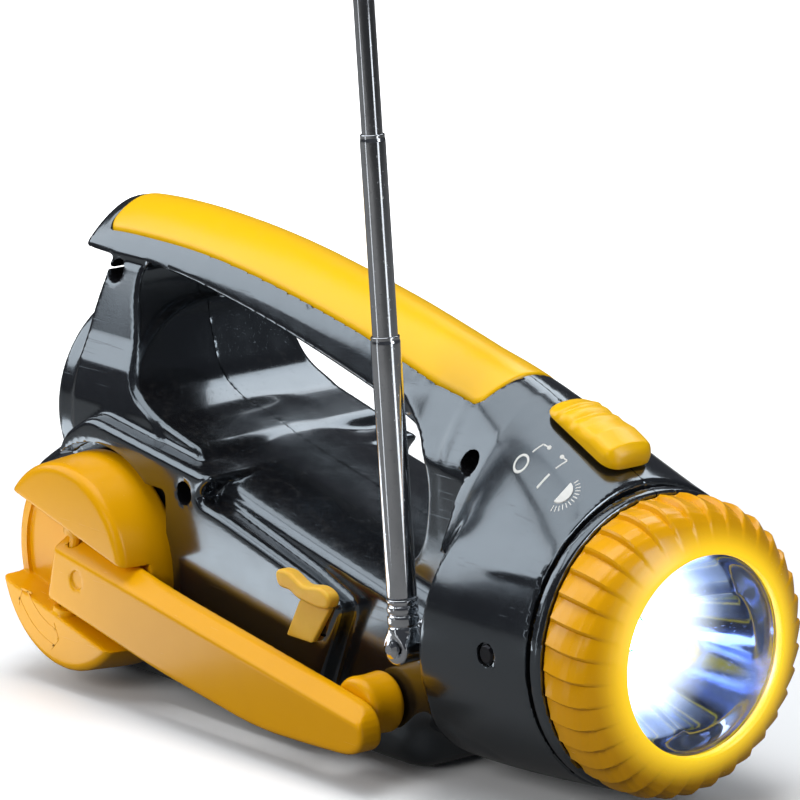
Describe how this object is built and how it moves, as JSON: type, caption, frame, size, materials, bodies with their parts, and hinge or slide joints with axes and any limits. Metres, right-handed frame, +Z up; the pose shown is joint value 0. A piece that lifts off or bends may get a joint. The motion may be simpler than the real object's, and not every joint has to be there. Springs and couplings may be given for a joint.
{
  "type": "crank radio torch",
  "caption": "Hand-cranked portable radio and torch with a carrying handle, round lamp head, telescopic aerial and folding crank.",
  "frame": {"origin": "middle of the battery door's outer face, on the surface the radio stands on", "axes": "+X out of the lamp, +Z up, -Y on the crank side, +Y on the tuning side"},
  "size_m": [0.23, 0.0889, 0.3121],
  "materials": {
    "black_shell": "polished black ABS",
    "amber_plastic": "semi-gloss amber ABS",
    "yellow_plastic": "semi-gloss yellow ABS",
    "pale_rubber": "matt pale yellow rubber",
    "aerial_chrome": "bright chrome plate",
    "screw_steel": "blackened steel",
    "plain_steel": "plain steel",
    "brass_pinion": "machined brass",
    "copper_wire": "enamelled copper wire",
    "reflector_mirror": "vacuum-metallised plastic",
    "clear_lens": "clear polystyrene",
    "led_light": "lit white LED",
    "circuit_green": "green circuit board",
    "white_nylon": "natural nylon",
    "dark_plastic": "satin black",
    "speaker_paper": "black pressed paper",
    "ferrite": "sintered ferrite",
    "cell_wrap": "shrink wrap"
  },
  "bodies": {
    "body": {"right_housing": "black_shell", "left_housing": "black_shell", "handle_inlay": "yellow_plastic", "housing_screw_1": "screw_steel", "housing_screw_2": "screw_steel", "housing_screw_3": "screw_steel", "head_screw": "screw_steel", "lens": "clear_lens", "reflector": "reflector_mirror", "led": "led_light", "led_board": "circuit_green", "lamp_holder": "white_nylon", "switch_body": "plain_steel", "gearbox_plate": "plain_steel", "idler_shaft": "plain_steel", "dynamo_body": "plain_steel", "aerial_foot": "aerial_chrome", "aerial_rivet": "aerial_chrome", "dc_socket": "dark_plastic", "battery_door": "black_shell", "battery_door_screw": "screw_steel", "battery_cell_1": "cell_wrap", "battery_cell_2": "cell_wrap", "battery_cell_3": "cell_wrap", "circuit_board": "circuit_green", "tuning_capacitor": "white_nylon", "volume_control": "plain_steel", "band_switch_body": "plain_steel", "ferrite_rod": "ferrite", "aerial_coil": "copper_wire", "speaker_grille": "dark_plastic", "speaker_cone": "speaker_paper", "speaker_magnet": "plain_steel"},
    "bezel": {"bezel": "amber_plastic"},
    "switch": {"switch_button": "yellow_plastic"},
    "crank": {"crank_hub": "amber_plastic", "crank_gear": "white_nylon", "crank_shaft": "plain_steel", "arm_hinge_pin": "plain_steel"},
    "arm": {"crank_arm": "amber_plastic", "knob_axle": "plain_steel"},
    "knob": {"crank_knob": "amber_plastic"},
    "idler": {"idler_gear": "white_nylon"},
    "dynamo_rotor": {"dynamo_pinion": "brass_pinion", "dynamo_shaft": "plain_steel"},
    "aerial_base": {"aerial_knuckle": "aerial_chrome", "aerial_section_1": "aerial_chrome"},
    "aerial_2": {"aerial_section_2": "aerial_chrome"},
    "aerial_3": {"aerial_section_3": "aerial_chrome"},
    "aerial_4": {"aerial_section_4": "aerial_chrome"},
    "aerial_5": {"aerial_section_5": "aerial_chrome", "aerial_tip": "aerial_chrome"},
    "socket_cover": {"socket_cover": "pale_rubber"},
    "tuning": {"tuning_knob": "black_shell"},
    "volume": {"volume_knob": "black_shell"},
    "band": {"band_switch_knob": "yellow_plastic"}
  },
  "joints": [
    {"name": "bezel_turn", "type": "hinge", "parent": "body", "child": "bezel", "pos_m": [0.1, 0, 0.041], "axis": [1, 0, 0], "range_deg": [0, 360]},
    {"name": "light_switch", "type": "slide", "parent": "body", "child": "switch", "axis": [0.9107, 0, -0.4131], "range_m": [-0.004, 0]},
    {"name": "crank_turn", "type": "hinge", "parent": "body", "child": "crank", "pos_m": [-0.079, -0.04, 0.032], "axis": [0, -1, 0], "continuous": true},
    {"name": "arm_fold", "type": "hinge", "parent": "crank", "child": "arm", "pos_m": [-0.079, -0.0455, 0.031], "axis": [-0.2419, 0, -0.9703], "range_deg": [0, 180]},
    {"name": "knob_spin", "type": "hinge", "parent": "arm", "child": "knob", "pos_m": [0.031, -0.036, 0.018], "axis": [0, -1, 0], "continuous": true},
    {"name": "idler_turn", "type": "hinge", "parent": "body", "child": "idler", "pos_m": [-0.04946, -0.02, 0.02679], "axis": [0, -1, 0], "continuous": true},
    {"name": "dynamo_turn", "type": "hinge", "parent": "body", "child": "dynamo_rotor", "pos_m": [-0.02866, -0.017, 0.02679], "axis": [0, -1, 0], "continuous": true},
    {"name": "aerial_tilt", "type": "hinge", "parent": "body", "child": "aerial_base", "pos_m": [0.047, -0.038, 0.0365], "axis": [0, 1, 0], "range_deg": [-60, 8]},
    {"name": "aerial_slide_2", "type": "slide", "parent": "aerial_base", "child": "aerial_2", "axis": [-0.0837, 0, 0.9965], "range_m": [-0.0485, 0]},
    {"name": "aerial_slide_3", "type": "slide", "parent": "aerial_2", "child": "aerial_3", "axis": [-0.0837, 0, 0.9965], "range_m": [-0.0485, 0]},
    {"name": "aerial_slide_4", "type": "slide", "parent": "aerial_3", "child": "aerial_4", "axis": [-0.0837, 0, 0.9965], "range_m": [-0.0485, 0]},
    {"name": "aerial_slide_5", "type": "slide", "parent": "aerial_4", "child": "aerial_5", "axis": [-0.0837, 0, 0.9965], "range_m": [-0.0485, 0]},
    {"name": "cover_swing", "type": "hinge", "parent": "body", "child": "socket_cover", "pos_m": [0.0055, -0.0368, 0.0293], "axis": [1, 0, 0], "range_deg": [0, 80]},
    {"name": "tuning_turn", "type": "hinge", "parent": "body", "child": "tuning", "pos_m": [-0.032, 0.036, 0.03], "axis": [0, 1, 0], "range_deg": [-180, 90]},
    {"name": "volume_turn", "type": "hinge", "parent": "body", "child": "volume", "pos_m": [0, 0.036, 0.03], "axis": [0, 1, 0], "range_deg": [-150, 150]},
    {"name": "band_slide", "type": "slide", "parent": "body", "child": "band", "axis": [1, 0, 0], "range_m": [-0.004, 0]}
  ],
  "couplings": [
    {"joint": "idler_turn", "follows": "crank_turn", "ratio": -4},
    {"joint": "dynamo_turn", "follows": "crank_turn", "ratio": 13.333}
  ]
}
